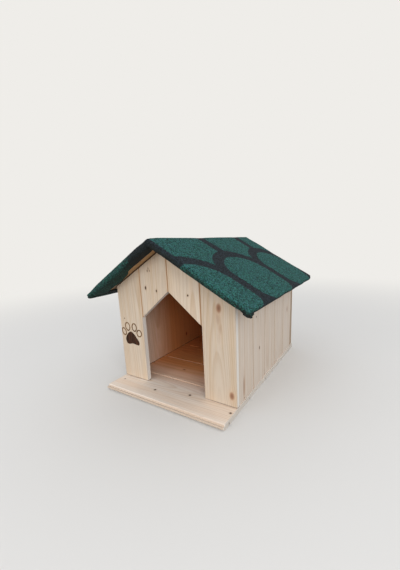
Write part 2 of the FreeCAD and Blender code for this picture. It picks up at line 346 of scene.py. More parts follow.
def floor_shade_and_ends(board, colour, kerf):
    """A floor board has painted shade in its saw kerf and along the walls' inner foot, and is pale on its
    sawn ends.
    """
    tree = board.tree
    dark = linear(shadow_tone)
    beside_kerf = add(tree, "Math", {0: board.across, 1: kerf, 2: kerf_half_width}, operation="COMPARE")
    in_kerf = add(tree, "Math", {0: board.depth, 1: kerf_roof}, operation="GREATER_THAN")
    in_kerf = add(tree, "Math", {0: in_kerf, 1: beside_kerf}, operation="MULTIPLY")
    colour = add(tree, "Mix", {0: in_kerf, 6: colour, 7: dark}, **colour_mix)
    sideways = add(tree, "Math", {0: board.x}, operation="ABSOLUTE")
    foot = add(tree, "Math", {0: sideways, 1: (right_face - inner_foot[0]) * MM, 2: inner_foot[1] * MM},
               operation="COMPARE")
    foot = add(tree, "Math", {0: foot, 1: between_walls(board)}, operation="MULTIPLY")
    on_top = add(tree, "Math", {0: board.depth, 1: foot_skin}, operation="LESS_THAN")
    foot = add(tree, "Math", {0: foot, 1: on_top}, operation="MULTIPLY")
    colour = add(tree, "Mix", {0: foot, 6: colour, 7: dark}, **colour_mix)
    end = add(tree, "MapRange", {0: sideways, 1: (right_face - end_blend) * MM,
                                 2: (right_face + end_blend) * MM, 4: end_share})
    return add(tree, "Mix", {0: end, 6: colour, 7: linear(end_tone)}, **colour_mix)


def painted_indoor_shade(board, colour, floor):
    """Painted shade: the inner side grows warmer and darker away from the doorway, and a floor's V later
    than its face.
    """
    tree = board.tree
    side = add(tree, "Math", {0: board.depth, 1: face_skin if floor else board_thickness - face_skin},
               operation="LESS_THAN" if floor else "GREATER_THAN")
    indoors = add(tree, "Math", {0: board.x, 1: 0.0, 2: (right_face - board_thickness + 1) * MM},
                  operation="COMPARE")
    first, last = ((front_face + y) * MM for y in (floor_shade_reach if floor else wall_shade_reach))
    far_in = add(tree, "MapRange", {0: board.y, 1: first, 2: last})
    vee_in = 0.0
    if floor:
        indoors = add(tree, "Math", {0: indoors, 1: between_walls(board)}, operation="MULTIPLY")
        first, last = ((front_face + y) * MM for y in vee_shade_reach)
        vee_in = add(tree, "MapRange", {0: board.y, 1: first, 2: last})
        shallow = add(tree, "Math", {0: board.depth, 1: vee_depth}, operation="LESS_THAN")
        vee_in = add(tree, "Math", {0: vee_in, 1: shallow}, operation="MULTIPLY")
    far_in = add(tree, "Mix", {0: side, 2: vee_in, 3: far_in})
    share = add(tree, "Math", {0: indoors, 1: far_in}, operation="MULTIPLY")
    return add(tree, "Mix", {0: share, 6: colour, 7: linear(indoor_shade_tint)}, blend_type="MULTIPLY",
               **colour_mix)


def pine(name, axes, centre, tone, seed, knots=(), joints=(), edge=None, inner=None, flame=None,
         shade_line=None, kerf=0.0, gain=1.0):
    """Planed pine: pale earlywood, thin darker latewood lines that are slices of growth rings round a
    pith behind the face (drawn about 5 mm apart, twice the real spacing, so that they show), broad
    warmer streaks, fine fibres, and knots that push the lines aside.

    axes names the directions across the board, into it and along it. centre is their zero, on the face.
    tone is the colours of earlywood, streaks, latewood and the V between two boards. A knot is (across,
    along, radius, stretch, how dark), in millimetres. joints are the places across where a V runs, edge is
    the tone of the sawn edges and how far it rules there, and inner says which side of the board, "face"
    or "back", is inside the house, where painted shade makes the wood redder away from the doorway. flame
    is the pith's place across and behind the face and its slope, for a board with arched grain. The shade
    line is a painted shadow across the grain where another piece meets the board: its middle along the
    grain, its half width and how dark it is. kerf is where across a floor board the saw kerf runs under it,
    painted dark as shade, and gain is how much paler than its neighbours the board is.
    """
    draw = np.random.default_rng(seed)
    shift = draw.uniform(0, noise_shift, 3)
    pith = (draw.uniform(*pith_across), draw.uniform(*pith_behind))
    spacing = draw.uniform(*ring_spacing)
    slope = draw.uniform(*pith_slope)
    if flame:
        *pith, slope = flame
    material, tree, shader = new_material(name, Roughness=0.62, IOR=1.5, Specular_IOR_Level=0.3)
    board = board_sockets(tree, axes, centre)
    place, distances = drawn_in(board, centre, knots)
    late = latewood(board, place, shift, pith, slope, spacing)

    # Streaks a finger wide, and fibres drawn a little coarser than real ones so that they show
    broad = add(tree, "VectorMath", {0: place, 1: [1 / size for size in streak_size], 2: shift[::-1]},
                operation="MULTIPLY_ADD")
    streak = add(tree, "TexNoise", {"Vector": broad, "Scale": 1.0, "Detail": 2.0})
    streak = add(tree, "MapRange", {0: streak, 1: streak_range[0], 2: streak_range[1], 4: streak_share},
                 **soft_step)
    fine = add(tree, "VectorMath", {0: place, 1: [1 / size for size in fibre_size], 2: shift},
               operation="MULTIPLY_ADD")
    fibre = add(tree, "TexNoise", {"Vector": fine, "Scale": 1.0, "Detail": 2.0})

    early, warm, dark_line, groove = tone
    colour = add(tree, "Mix", {0: streak, 6: linear(early), 7: linear(warm)}, **colour_mix)
    line = add(tree, "Math", {0: late, 1: line_share}, operation="MULTIPLY")
    colour = add(tree, "Mix", {0: line, 6: colour, 7: linear(dark_line)}, **colour_mix)
    shade = add(tree, "MapRange", {0: fibre, 1: fibre_range[0], 2: fibre_range[1],
                                   3: fibre_shade[0] * gain, 4: fibre_shade[1] * gain})
    colour = add(tree, "VectorMath", {0: colour, "Scale": shade}, operation="SCALE")
    colour = knot_colours(tree, colour, knots, distances)
    if edge:
        colour = sawn_edges(board, colour, *edge)
    if joints:
        colour = vee_joints(board, colour, [joint - centre[0] for joint in joints], groove)
    if inner == "face":
        colour = floor_shade_and_ends(board, colour, kerf - centre[0])
    if inner:
        colour = painted_indoor_shade(board, colour, inner == "face")
    # painted shadow line where another piece meets the board
    if shade_line:
        on_shade_line = add(tree, "Math", {0: board.along, 1: shade_line[0] - centre[2], 2: shade_line[1]},
                      operation="COMPARE")
        on_shade_line = add(tree, "Math", {0: on_shade_line, 1: shade_line[2]}, operation="MULTIPLY")
        colour = add(tree, "Mix", {0: on_shade_line, 6: colour, 7: linear(shadow_tone)}, **colour_mix)
    tree.links.new(colour, shader.inputs["Base Color"])

    height = add(tree, "Math", {0: late, 1: late_relief, 2: fibre}, operation="MULTIPLY_ADD")
    bump = add(tree, "Bump", {"Strength": 0.25, "Distance": 0.3 * MM, "Height": height})
    tree.links.new(bump, shader.inputs["Normal"])
    return material


# Most values of a noise lie in this range
noise_range = (0.3, 0.7)

# Grit of the roofing, in millimetres
grain_size = 2.2
clump_size = 4.0
ragged_edge = 3.0  # how far single grains stray over a tab's outline
tab_blend = (1.0, 2.0)  # green takes over between these distances inside a tab
clump_shade = (0.75, 1.2)
rub_share = (0.35, 0.95)  # how much of a grain goes where all of the grit is said to be lost


def bitumen_shingle():
    """Bitumen roofing felt faced with crushed slate: coarse matt grains, green on the tabs and near black
    in the bands, and rubbed off to the bitumen where the sheet is bent under, the dark bitumen there also
    being painted shade on the folds and undersides. The sheet carries two attributes: its distance inside
    a tab, in millimetres, and the share of its grit that is lost, which is partly painted shade.
    Grains are drawn about twice as coarse as the real grit, so that they show."""
    material, tree, shader = new_material(
        "bitumen_shingle_slate_grit", Roughness=0.92, IOR=1.5, Specular_IOR_Level=0.2)
    object_place = add(tree, "TexCoord", {}, out=3)
    place = add(tree, "VectorMath", {0: object_place, "Scale": 1 / MM}, operation="SCALE")
    grain = add(tree, "TexVoronoi", {"Vector": place, "Scale": 1 / grain_size}).node.outputs
    chance = add(tree, "SeparateColor", {0: grain[1]}).node.outputs
    clump = add(tree, "TexNoise", {"Vector": place, "Scale": 1 / clump_size, "Detail": 3.0})
    inside = add(tree, "Attribute", {}, out=2, attribute_name="tab")
    ragged = add(tree, "Math", {0: chance[0], 1: ragged_edge, 2: inside}, operation="MULTIPLY_ADD")
    on_tab = add(tree, "MapRange", {0: ragged, 1: tab_blend[0], 2: tab_blend[1]})
    hue = add(tree, "Mix", {0: chance[2], 6: linear("#2C6F5C"), 7: linear("#3E7076")}, **colour_mix)
    green = add(tree, "Mix", {0: chance[1], 6: linear("#010F10"), 7: hue}, **colour_mix)
    black = add(tree, "Mix", {0: chance[1], 6: linear("#05080A"), 7: linear("#2B353C")}, **colour_mix)
    colour = add(tree, "Mix", {0: on_tab, 6: black, 7: green}, **colour_mix)
    # bare bitumen where grit is lost, which is also painted shade on the folds and undersides
    lost = add(tree, "Attribute", {}, out=2, attribute_name="lost")
    loose = add(tree, "MapRange", {0: chance[2], 3: rub_share[0], 4: rub_share[1]})
    rubbed = add(tree, "Math", {0: lost, 1: loose}, operation="MULTIPLY")
    colour = add(tree, "Mix", {0: rubbed, 6: colour, 7: linear("#171A14")}, **colour_mix)
    shade = add(tree, "MapRange", {0: clump, 1: noise_range[0], 2: noise_range[1],
                                   3: clump_shade[0], 4: clump_shade[1]})
    colour = add(tree, "VectorMath", {0: colour, "Scale": shade}, operation="SCALE")
    tree.links.new(colour, shader.inputs["Base Color"])
    bump = add(tree, "Bump", {"Strength": 0.6, "Distance": 0.6 * MM, "Height": grain[0]}, invert=True)
    tree.links.new(bump, shader.inputs["Normal"])
    return material


# Char and tarnish, in millimetres
char_size = (6.25, 6.25, 40)
char_range = (0.35, 0.65)
tarnish_per_mm = 0.9
wire_roughness = (0.65, 0.4)


def scorched_pine(name, dark, light):
    """Pine charred by a hot tool: brown, dull, with the grain still there in streaks 2 to 6 mm wide."""
    material, tree, shader = new_material(name, Roughness=0.8, IOR=1.5, Specular_IOR_Level=0.2)
    object_place = add(tree, "TexCoord", {}, out=3)
    along = add(tree, "VectorMath", {0: object_place, 1: [1 / (size * MM) for size in char_size]},
                operation="MULTIPLY")
    char = add(tree, "TexNoise", {"Vector": along, "Scale": 1.0, "Detail": 4.0})
    char = add(tree, "MapRange", {0: char, 1: char_range[0], 2: char_range[1]})
    colour = add(tree, "Mix", {0: char, 6: linear(dark), 7: linear(light)}, **colour_mix)
    tree.links.new(colour, shader.inputs["Base Color"])
    bump = add(tree, "Bump", {"Strength": 0.4, "Distance": 0.4 * MM, "Height": char})
    tree.links.new(bump, shader.inputs["Normal"])
    return material


def bright_wire():
    """Drawn steel nail wire, dulled and browned by hammer and damp wood in patches about 1 mm wide."""
    material, tree, shader = new_material("dulled_steel_wire", Metallic=0.85)
    object_place = add(tree, "TexCoord", {}, out=3)
    patch = add(tree, "TexNoise", {"Vector": object_place, "Scale": tarnish_per_mm / MM, "Detail": 3.0})
    colour = add(tree, "Mix", {0: patch, 6: linear("#35271B"), 7: linear("#66533F")}, **colour_mix)
    tree.links.new(colour, shader.inputs["Base Color"])
    rough = add(tree, "MapRange", {0: patch, 1: noise_range[0], 2: noise_range[1],
                                   3: wire_roughness[0], 4: wire_roughness[1]})
    tree.links.new(rough, shader.inputs["Roughness"])
    return material


def sheet_axis(start, end, cells, fold_cells, tuck_cells, both_ends):
    """One direction of a sheet that lies flat, bends half round an edge and is tucked under. Gives, for
    each grid line, the place on the flat, the angle of the fold, its way and the share tucked."""
    flat = np.linspace(start, end, cells + 1)
    bend = np.linspace(0, math.pi, fold_cells + 1)[1:]
    tuck = np.linspace(0, 1, tuck_cells + 1)[1:]
    edge = np.ones(fold_cells + tuck_cells)
    angle = np.concatenate([bend, np.full(tuck_cells, math.pi)])
    share = np.concatenate([np.zeros(fold_cells), tuck])
    still = np.zeros(cells + 1)
    columns = [[flat, edge * end], [still, angle], [still, edge], [still, share]]
    if both_ends:
        before = [edge * start, angle[::-1], -edge, share[::-1]]
        columns = [[first] + rest for first, rest in zip(before, columns)]
    return [np.concatenate(column) for column in columns]


wave_spread = (0.6, 1.8)  # shares of the wavelength that is asked for
wave_gain = 1.6  # brings the mean of the sines out to about 1


def wave(along, seed, reach, wavelength, count=4):
    """A gentle irregular line: a sum of sines of unlike wavelengths, out to about the reach both ways."""
    draw = np.random.default_rng(seed)
    lengths = wavelength * draw.uniform(*wave_spread, count)
    phases = draw.uniform(0, 2 * math.pi, count)
    terms = np.sin(2 * math.pi * np.asarray(along)[..., None] / lengths + phases)
    return terms.mean(-1) * wave_gain * reach


def tab_distance(along, down, tab_end):
    """How far inside a tab a point of the sheet lies, in millimetres, negative in the bands between.
    Lower tabs have elliptical tops and rounded ends; upper tabs end on the bands over those tops."""
    lean = tab_lean * np.clip((down - arch_foot + arch_rise) / (tab_end - arch_foot + arch_rise), 0, 1)
    lean = lean * (1 - lean_fade * (along - cover_low[1]) / (cover_high[1] - cover_low[1]))
    aside = np.mod(along - front_face - tab_middle - lean + tab_pitch / 2, tab_pitch) - tab_pitch / 2
    above_foot = np.maximum(arch_foot - down, 0)
    lower = (1 - np.hypot(aside / tab_half_width, above_foot / arch_rise)) * arch_rise
    past_side = np.maximum(np.abs(aside) - tab_half_width + tab_corner, 0)
    corner = np.hypot(past_side, np.maximum(down - tab_end + tab_corner, 0))
    lower = np.minimum(lower, tab_corner - corner)
    reach = np.hypot(aside / (tab_half_width + band_width), above_foot / band_arch_rise)
    upper = np.minimum((reach - 1) * band_arch_rise, np.abs(aside) - band_width / 2)
    upper = np.where(down < arch_foot, upper, -band_width)
    return np.maximum(lower, upper)


def smooth(share):
    """A soft step from 0 to 1."""
    share = np.clip(share, 0, 1)
    return share * share * (3 - 2 * share)


# Cells of a cover's grid: on the flat, round a fold, in a tuck
down_cells = (120, 10, 8)
along_cells = (232, 10, 12)

# Waves of a cover's edges and face: how far, over about what length; a swell is one times the other
front_tuck_wave = (2.5, 90)
rear_tuck_wave = (2.0, 90)
eave_tuck_wave = (1.5, 110)
verge_wave = (0.8, 70)
eave_wave = (0.5, 90)
swell_down = (0.5, 120)
swell_along = (1, 160)
verge_slack = 0.5  # how far the folds stand off the deck's edges
eave_slack = 0.3
grit_height = 0.2  # of the grit on the flat, up and down

# How far the shaping of a cover reaches
tuck_step = (0.43, 0.12)  # shares of the slope: where the front tuck's width changes, and over what
front_zone = 25.0  # back from the front verge
apex_zone = 12.0  # down from the ridge
corner_zone = (14.0, 20.0)  # along the ridge and down the slope
front_rise_zone = 110.0  # back from the front verge, for the ridge
corner_power = 3  # how late round the front fold the corner's reach sets in
point_power = 3  # how much later when the corner is pulled out to a point
tuck_fade = 4  # power by which that point fades along the tuck
eave_grip = 20  # power of the slope's share by which a corner is pulled only next to the eave
slope_fade = 4  # power by which the eave's skew and the ridge's lift fade over the slope
meet_zone = 40.0  # the two sheets close on each other over this width by the ridge
puff_ends = (0.15, 0.2)  # shares of the slope over which the puffed fold begins and ends
rim_start = (0.7, 0.2)  # shares of the slope: where the rear rim comes in, and over what
rim_outside = 60.0  # shifts the rim off the sheet higher up
rim_margin = 4.0  # how far past the eave line the rim's lower side lies
# from this angle round a fold, the rubbed-off grit also stands for painted shade
bare_and_shade_angle = 0.9  # radians round a fold from which the grit is rubbed off
verge_mix_angle = 0.25  # radians round the front fold from which verge_mix rules
fit_gap = 0.4  # the sheet is drawn thinner by this, clear of the deck


def cover_grid():
    """The grid of a cover, rows down the slope and columns along the ridge. For each line: its place on the
    flat, its angle round a fold, that turn as a share, the share of the tuck before it, and for columns the
    way the verge faces."""
    grid = SimpleNamespace()
    grid.start = -(deck_thickness + sheet_thickness) * math.tan(roof_pitch)
    grid.eave_line = slope_length + sheet_thickness - fold_radius
    grid.verge_lines = (cover_low[1] + fold_radius, cover_high[1] - fold_radius)
    down_axis = sheet_axis(grid.start, grid.eave_line, *down_cells, False)
    along_axis = sheet_axis(*grid.verge_lines, *along_cells, True)
    grid.down, grid.down_angle, _, grid.down_share = (a[:, None] for a in down_axis)
    grid.along, grid.along_angle, grid.way, grid.along_share = (a[None, :] for a in along_axis)
    grid.down_turn = (1 - np.cos(grid.down_angle)) / 2
    grid.along_turn = (1 - np.cos(grid.along_angle)) / 2
    grid.slope_share = np.clip(grid.down / grid.eave_line, 0, 1)
    grid.near_front = np.exp(-np.square((grid.along - grid.verge_lines[0]) / front_zone))
    return grid


def cover_tucks(grid, seed, tucks, rake):
    """Widths that are tucked under at the verges and at the eave: wavy, and narrow where they meet. The
    front one changes its width part of the way down."""
    wider = (tucks[1] - tucks[0]) * smooth((grid.slope_share - tuck_step[0]) / tuck_step[1])
    front = tucks[0] + wider + wave(grid.down, seed, *front_tuck_wave)
    rear = tucks[2] + wave(grid.down, seed + 1, *rear_tuck_wave)
    verge = np.minimum(np.where(grid.way < 0, front, rear), longest_tuck - rake * grid.slope_share)
    verge = verge + (corner_tuck - verge) * grid.down_turn
    eave = tucks[3] + wave(grid.along, seed + 2, *eave_tuck_wave)
    eave = eave + (corner_tuck - eave) * grid.along_turn
    return verge, eave


def cover_places(grid, seed, verge_tuck, eave_tuck, corner_reach, pinch, rake, eave_skew):
    """Places down the slope and along the ridge: the flat, out round the folds as a sine of their angle,
    and back in by the tucks. The corners, the apex and the front verge are then pulled out or in."""
    loose_verge = verge_slack + wave(grid.down, seed + 3, *verge_wave)
    loose_eave = eave_slack + wave(grid.along, seed + 4, *eave_wave)
    down_out, along_out = np.sin(grid.down_angle), np.sin(grid.along_angle)
    square = np.maximum(np.hypot(down_out, along_out), 1)
    down = grid.down + (fold_radius + loose_eave) * down_out / square - grid.down_share * eave_tuck
    folded = (fold_radius + loose_verge) * along_out / square - grid.along_share * verge_tuck
    along = grid.along + grid.way * folded

    front_end = np.sin(np.minimum(grid.along_angle, math.pi / 2)) ** corner_power
    if corner_reach[0] > 0:
        front_end = front_end ** point_power * (1 - grid.along_share) ** tuck_fade
    rear_end = np.clip((grid.along - grid.verge_lines[1]) / rim_width + 1, 0, 1) ** 2
    reach = np.where(grid.way < 0, corner_reach[0] * front_end, corner_reach[1] * rear_end)
    down = down + reach * grid.slope_share ** eave_grip
    near_apex = np.exp(-np.square((grid.down - grid.start) / apex_zone)) * grid.near_front
    along = along - pinch * near_apex * along_out
    toward_front = (grid.verge_lines[1] - grid.along) / (grid.verge_lines[1] - grid.verge_lines[0])
    along = along + rake * grid.slope_share * toward_front
    skew = eave_skew[1] + (eave_skew[0] - eave_skew[1]) * toward_front
    return down + skew * grid.slope_share ** slope_fade, along


def cover_height(grid, front_slack, puff):
    """Height over the deck's underside: half round its edge as a cosine of the angle, where of two folds
    the lower rules, with slack in the tuck, pressed corners, a puffed front fold and a lifted ridge."""
    from_verge = np.minimum(grid.along - grid.verge_lines[0], grid.verge_lines[1] - grid.along)
    from_eave = grid.down - grid.eave_line
    near_corner = np.exp(-np.square(from_verge / corner_zone[0]) - np.square(from_eave / corner_zone[1]))
    slack = np.where(grid.way <= 0, front_slack, 0) * grid.along_turn
    droop = np.maximum(corner_drop * grid.down_turn * grid.along_turn, slack * (1 - grid.down_turn))
    bend = np.minimum(np.cos(grid.down_angle), np.cos(grid.along_angle))
    off = deck_thickness / 2 + fold_radius * bend - droop
    off = off + corner_squeeze * near_corner * np.maximum(grid.down_turn, grid.along_turn)
    puffed = puff * grid.near_front * np.maximum(np.cos(grid.along_angle), 0)
    begun, ended = smooth(grid.slope_share / puff_ends[0]), smooth((1 - grid.slope_share) / puff_ends[1])
    off = off + puffed * begun * ended
    front_rise = front_lift * np.exp(-np.square((grid.along - grid.verge_lines[0]) / front_rise_zone))
    stand = ridge_lift + front_rise - apex_dip * grid.near_front
    stand = stand * (1 - grid.slope_share) ** slope_fade
    return off + stand * (1 - grid.along_turn) * (1 - grid.down_turn)


def cover_tabs(grid, eave_tuck, green_end, verge_mix):
    """How far inside a tab the sheet lies, measured along it as if unrolled, and less where the black rim
    with its rounded corner closes the last tab."""
    unrolled_along = grid.along + grid.way * fold_radius * np.minimum(grid.along_angle, math.pi / 2)
    unrolled_down = grid.down + fold_radius * grid.down_angle + grid.down_share * eave_tuck
    inside = tab_distance(unrolled_along, unrolled_down - grid.start, green_end)
    if verge_mix:
        mixed = (grid.down - grid.start - verge_mix[0] - verge_mix[1] * grid.along_angle) / verge_mix[2]
        inside = np.where((grid.way < 0) & (grid.along_angle > verge_mix_angle), mixed, inside)
    rim_along = np.maximum(grid.along - grid.verge_lines[1] + rim_width + rim_radius, 0)
    rim_along = rim_along - (1 - smooth((grid.slope_share - rim_start[0]) / rim_start[1])) * rim_outside
    rim_down = np.maximum(grid.down - grid.eave_line + rim_radius - rim_margin, 0)
    return np.minimum(inside, rim_radius - np.hypot(np.maximum(rim_along, 0), rim_down))


def grit_lost(grid, rub_and_shade):
    """Share of the grit that is rubbed off, which also stands for painted shade on the folds: more with the
    angle round the eave and the rear verge, from bare_and_shade_angle on, and round the front verge as rub
    says."""
    angle = np.maximum(grid.down_angle, np.where(grid.way <= 0, 0, grid.along_angle))
    lost = np.clip(angle - bare_and_shade_angle, 0, 1)
    rubbed = np.clip(rub_and_shade[0] + rub_and_shade[1] * grid.along_angle, 0, rub_and_shade[2])
    return np.maximum(lost, np.where((grid.way < 0) & (grid.along_angle > 0), rubbed, 0))


def shingle_cover(side, seed, tucks, front_slack, corner_reach, pinch, green_end, rake, puff, eave_skew,
                  rub_and_shade, verge_mix=None):
    """The sheet over one slope: flat on the deck, bent half round the eave and both verges, and tucked
    under. Where two folds meet the lower of them rules, and the doubled corner hangs by its thickness.

    side is -1 or 1. tucks gives the widths tucked under at the front verge by the ridge and by the eave,
    at the rear verge and at the eave. front_slack is how far the front tuck hangs off the deck,
    corner_reach how far the sheet runs past the eave line at its front and rear corner, and pinch how far
    it is pulled forward at the apex. A front corner that is pulled out comes to a point. green_end is how
    far down from the ridge the lower tabs run. rake is how far the front verge falls back from the ridge
    to the eave, puff how far its fold stands up, and eave_skew how far the eave hangs past the deck in
    front and behind. rub is the share of grit lost on the front verge, which also paints the shade there:
    where its fold begins, how much more for each radian round it, and at most. verge_mix makes the grit on
    the front verge go from black to green: from how far down, how much later round the fold, over what
    length.
    """
    grid = cover_grid()
    verge_tuck, eave_tuck = cover_tucks(grid, seed, tucks, rake)
    down, along = cover_places(grid, seed, verge_tuck, eave_tuck, corner_reach, pinch, rake, eave_skew)
    off = cover_height(grid, front_slack, puff)
    inside = cover_tabs(grid, eave_tuck, green_end, verge_mix)

    # Swells, grit and the relief of the tabs, outward on both sides of the deck
    swell = wave(grid.down, seed + 5, *swell_down) * wave(grid.along, seed + 6, *swell_along)
    grit = np.random.default_rng(seed + 7).uniform(-grit_height, grit_height, inside.shape)
    grit = grit * (1 - np.maximum(grid.down_turn, grid.along_turn))
    relief = tab_relief * np.clip(inside / tab_edge, 0, 1) + grit
    off = off + swell + np.where(off > deck_thickness / 2, 1, -1) * relief

    # The sheets meet on the house's middle plane, with the ridge rounded over
    meet = np.clip(1 - (grid.down - grid.start) / meet_zone, 0, 1)
    down = down + meet * (deck_thickness + sheet_thickness - off) * math.tan(roof_pitch)
    x = np.maximum(down * math.cos(roof_pitch) + off * math.sin(roof_pitch), 0)
    z = ridge_z - down * math.sin(roof_pitch) + off * math.cos(roof_pitch)
    fall = x * math.tan(roof_pitch)
    z = z + fall - np.hypot(fall, ridge_rounding)
    points = np.stack([side * x, along, z], -1)
    mesh = grid_mesh("shingle_cover", points, turned=side < 0, tab=inside, lost=grit_lost(grid, rub_and_shade))
    name = "left" if side < 0 else "right"
    cover = piece("shingle_cover_" + name, mesh, shingle_material, "roof", "shingle", "shingle_" + name)
    wall = cover.modifiers.new("thickness", "SOLIDIFY")
    wall.thickness = (sheet_thickness - fit_gap) * MM
    wall.offset = -1


def prism_ring(centre, half_width, half_height, tilt, wall, front, back, turns=40):
    """An elliptical ring with a rectangular section, its flat sides square to Y."""
    angle = np.linspace(0, 2 * math.pi, turns, endpoint=False)[:, None]
    out = np.array([0, 1, 1, 0, 0]) * wall
    deep = np.array([front, front, back, back, front])
    x = (half_width - wall / 2 + out) * np.cos(angle)
    z = (half_height - wall / 2 + out) * np.sin(angle)
    points = np.stack([
        centre[0] + x * math.cos(tilt) - z * math.sin(tilt),
        np.broadcast_to(deep, x.shape),
        centre[1] + x * math.sin(tilt) + z * math.cos(tilt),
    ], -1)
    return grid_mesh("toe_groove", points, ring=True)


def prism_blob(outline, front, back, between=6):
    """A flat-ended solid square to Y, whose outline is a closed Catmull-Rom curve through the points."""
    corners = np.asarray(outline, float)
    t = np.linspace(0, 1, between, endpoint=False)[None, :, None]
    before, here, after, last = (np.roll(corners, k, 0)[:, None] for k in (1, 0, -1, -2))
    curve = here + t / 2 * (after - before) + t ** 2 / 2 * (2 * before - 5 * here + 4 * after - last)
    curve = (curve + t ** 3 / 2 * (3 * here - before - 3 * after + last)).reshape(-1, 2)
    rim = np.stack([curve[:, 0], np.zeros(len(curve)), curve[:, 1]], -1)
    pole = np.broadcast_to(rim.mean(0), rim.shape)
    rows = [row + np.array([0, y, 0]) for row, y in ((pole, front), (rim, front), (rim, back), (pole, back))]
    return grid_mesh("pad_recess", np.stack(rows, 1), ring=True)


# Paw print burnt into the left board: toes as grooves, the pad as a shallow recess; x and z on the face
toe_rings = (  # middle, half width, half height, tilt
    ((-188.8, 164.2), 8.0, 11.4, 0.42),
    ((-171.6, 181.8), 9.2, 12.4, 0.16),
    ((-143.2, 182.0), 9.0, 12.0, 0.0),
    ((-124.4, 165.3), 9.6, 10.2, -0.3),
)
toe_groove_width = 4.0
pad_outline = (
    (-158, 167), (-146, 160), (-135, 147.5), (-126.5, 135.5), (-130, 126.5), (-142, 126.5), (-152, 128.5),
    (-161, 127.5), (-170, 124.8), (-179, 126.5), (-184.5, 138), (-180, 151), (-170, 162.5),
)
carving_depth = 1.1
cutter_start = 2.0  # cutters begin this far in front of the face


def merged_copy(node):
    """A copy of a node's mesh with its triangles joined into whole faces."""
    mesh = nodes[node].data.copy()
    work = bmesh.new()
    work.from_mesh(mesh)
    bmesh.ops.remove_doubles(work, verts=work.verts, dist=cad_weld * MM)
    bmesh.ops.dissolve_limit(work, angle_limit=math.radians(0.5), verts=work.verts, edges=work.edges)
    work.to_mesh(mesh)
    work.free()
    return mesh


def carved_board(material):
    """The left front board with the paw print cut into its face: the toes singed, the pad scorched."""
    mesh = merged_copy("front_board_1")
    mesh.materials.clear()
    for finish in (material, singed_material, burnt_material):
        mesh.materials.append(finish)
    board = piece("carved_front_board", mesh, None, "house", "pine_board", "front_board_1")
    front, back = front_face - cutter_start, front_face + carving_depth
    cutters = [(prism_ring(*toe, toe_groove_width, front, back), singed_material) for toe in toe_rings]
    cutters.append((prism_blob(pad_outline, front, back), burnt_material))
    for cutter_mesh, finish in cutters:
        cutter_mesh.materials.append(finish)
        work = bmesh.new()
        work.from_mesh(cutter_mesh)
        bmesh.ops.recalc_face_normals(work, faces=work.faces)
        work.to_mesh(cutter_mesh)
        work.free()
        cutter = placed("cutter", cutter_mesh)
        cut = board.modifiers.new("cut", "BOOLEAN")
        cut.operation = "DIFFERENCE"
        cut.solver = "EXACT"
        cut.material_mode = "TRANSFER"
        cut.object = cutter
        graph = bpy.context.evaluated_depsgraph_get()
        carved = bpy.data.meshes.new_from_object(board.evaluated_get(graph))
        board.modifiers.clear()
        board.data = carved
        bpy.data.objects.remove(cutter)
    carved.polygons.foreach_set("use_smooth", np.zeros(len(carved.polygons), bool))


def nail_group(node, places, headings, turns=16):
    """Nails of one group: a dished head and a shank, a profile carried round each nail's axis."""
    head = [(share * nail_head_radius, sink) for share, sink in nail_head_dish]
    head += [(nail_head_radius, nail_head_height), (nail_radius, nail_head_height)]
    shank = [(nail_radius, nail_length - nail_point), (0, nail_length)]
    radius, sink = np.array(head + shank).T
    sink = sink + nail_sink
    angle = np.linspace(0, 2 * math.pi, turns, endpoint=False)
    work = bmesh.new()
    for place, heading in zip(places, headings):
        heading = np.asarray(heading, float) / np.linalg.norm(heading)
        across = np.cross(heading, (0, 0, 1))
        across = across / np.linalg.norm(across)
        other = np.cross(heading, across)
        round_axis = np.cos(angle)[:, None, None] * across + np.sin(angle)[:, None, None] * other
        points = np.asarray(place) + radius[None, :, None] * round_axis + sink[None, :, None] * heading
        work.from_mesh(grid_mesh("nail", points, ring=True))
    bmesh.ops.recalc_face_normals(work, faces=work.faces)
    mesh = bpy.data.meshes.new(node)
    work.to_mesh(mesh)
    work.free()
    piece("round_" + node, mesh, nail_material, "house", "nail", node)


arris_width = 0.6
arris_angle = math.radians(30)  # edges that turn by less are left as they are


def eased(node):
    """Soften a node's sharp arrises a little, as planing and handling do."""
    thing = nodes[node]
    weld = thing.modifiers.new("weld", "WELD")
    weld.merge_threshold = cad_weld * MM
    ease = thing.modifiers.new("eased_arris", "BEVEL")
    ease.width = arris_width * MM
    ease.segments = 2
    ease.limit_method = "ANGLE"
    ease.angle_limit = arris_angle


def dress(node, material, soften=True):
    """Give a carried-over node its finish."""
    thing = nodes[node]
    thing.data.materials.clear()
    thing.data.materials.append(material)
    if soften:
        eased(node)


# Sawn edges: their tone, and how far it rules; the darker tone of the rear and side walls holds painted
# shade
pale_edge = ("#E4DFD8", 0.9)
step_edge = ("#C0AC98", 0.75)
shaded_edge = ("#94795F", 1.0)

# Finishes
shingle_material = bitumen_shingle()
nail_material = bright_wire()
burnt_material = scorched_pine("scorched_pine", "#1E0F05", "#4E2E1C")
singed_material = scorched_pine("singed_pine", "#5A4028", "#8A6A48")

# Tones of earlywood, streaks, latewood lines and the V between two boards, the V's darker tone being partly
# painted shade
front_tone = ("#CCBCA9", "#C7AE90", "#A98765", "#A98056")
side_tone = ("#D7CABD", "#D0BCA7", "#B99D81", "#A98C6E")
floor_tone = ("#EEE2D5", "#E7CFB6", "#C29B76", "#E4BF9E")
rough_tone = ("#D2BB9A", "#C3A276", "#A37C50", "#A98C6E")
deck_tone = ("#B8936B", "#A98055", "#8E663F", "#A98C6E")
# painted shade: the wood inside grows redder and darker away from the doorway
indoor_shade_tint = "#F3AF76"  # multiplies the wood inside the house
end_tone = "#D2CBC1"
shadow_tone = "#5E4632"

